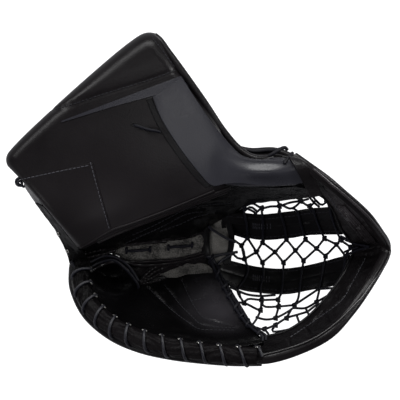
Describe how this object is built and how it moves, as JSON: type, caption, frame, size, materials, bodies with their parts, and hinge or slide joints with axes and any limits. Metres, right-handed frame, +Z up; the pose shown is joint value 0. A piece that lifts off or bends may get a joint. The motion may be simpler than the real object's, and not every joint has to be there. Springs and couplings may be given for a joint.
{
  "type": "ice hockey goalkeeper's catching glove",
  "caption": "Black leather catching glove with a broad padded cuff, a padded thumb, a laced rim and a netted pocket; it folds shut along a break across the heel.",
  "frame": {"origin": "middle of the bounding box, on the plane that the back of the glove rests on", "axes": "+X from the cuff to the tip of the pocket, along the break; +Y from the fingers to the thumb; +Z up, out of the open pocket"},
  "size_m": [0.4069, 0.3566, 0.1713],
  "materials": {
    "black_leather": "grained black synthetic leather, low sheen",
    "smooth_leather": "smooth supple black leather, soft sheen",
    "grey_leather": "plain dark grey synthetic leather, low sheen",
    "grey_felt": "napped grey felt, matte",
    "waxed_lace": "waxed black lace, dull",
    "foam": "closed-cell foam, matte",
    "plastic_board": "stiff sheet, matte",
    "lining_cloth": "brushed knit lining, matte",
    "strap_webbing": "woven strap with hook-and-loop face, matte",
    "nickel": "plated wire, bright"
  },
  "bodies": {
    "finger_half": {"break_lace_left": "waxed_lace", "break_lace_right": "waxed_lace", "break_strip": "grey_felt", "finger_back_pad": "black_leather", "finger_net_rail": "smooth_leather", "finger_rim_binding": "smooth_leather", "finger_rim_wall": "black_leather", "finger_stall_1": "lining_cloth", "finger_stall_2": "lining_cloth", "finger_stall_3": "lining_cloth", "finger_stall_4": "lining_cloth", "forefinger_wall": "smooth_leather", "heel_roll": "black_leather", "net_lower": "waxed_lace", "net_middle": "waxed_lace", "palm_board": "plastic_board", "palm_edge_cord": "waxed_lace", "palm_felt": "grey_felt", "palm_leather": "smooth_leather", "pocket_base": "grey_felt", "pocket_base_bar": "smooth_leather", "rim_lacing": "waxed_lace", "tip_gusset": "smooth_leather", "web_strip_lower": "smooth_leather"},
    "thumb_half": {"cuff_board": "plastic_board", "cuff_corner_panel": "black_leather", "cuff_cover": "black_leather", "cuff_foam": "foam", "cuff_grey_panel": "grey_leather", "cuff_lining": "lining_cloth", "cuff_side_piping": "smooth_leather", "cuff_tie_lace": "waxed_lace", "net_upper": "waxed_lace", "thumb_back_pad": "black_leather", "thumb_cover": "grey_leather", "thumb_foam": "foam", "thumb_lace": "waxed_lace", "thumb_net_rail": "smooth_leather", "thumb_rim_binding": "smooth_leather", "thumb_rim_wall": "black_leather", "thumb_shield": "plastic_board", "thumb_stall": "lining_cloth", "thumb_tab": "smooth_leather", "thumb_wall": "smooth_leather", "web_strip_upper": "smooth_leather", "wrist_flap_inner": "black_leather", "wrist_flap_outer": "black_leather", "wrist_pad": "black_leather", "wrist_ring": "nickel"},
    "wrist_strap": {"wrist_strap": "strap_webbing"},
    "hand_strap": {"hand_strap": "strap_webbing"}
  },
  "joints": [
    {"name": "break_fold", "type": "hinge", "parent": "finger_half", "child": "thumb_half", "pos_m": [0, -0.054, 0.1], "axis": [1, 0, 0], "range_deg": [0, 70], "deforming": ["net_middle", "break_strip", "break_lace_left", "break_lace_right", "pocket_base", "pocket_base_bar", "tip_gusset"]},
    {"name": "wrist_strap_hinge", "type": "hinge", "parent": "thumb_half", "child": "wrist_strap", "pos_m": [-0.14452, 0.00148, 0.0115], "axis": [-0.6686, 0.7436, 0], "range_deg": [0, 110]},
    {"name": "hand_strap_hinge", "type": "hinge", "parent": "finger_half", "child": "hand_strap", "pos_m": [-0.112, -0.054, 0.003], "axis": [0, 1, 0], "range_deg": [0, 100]}
  ]
}
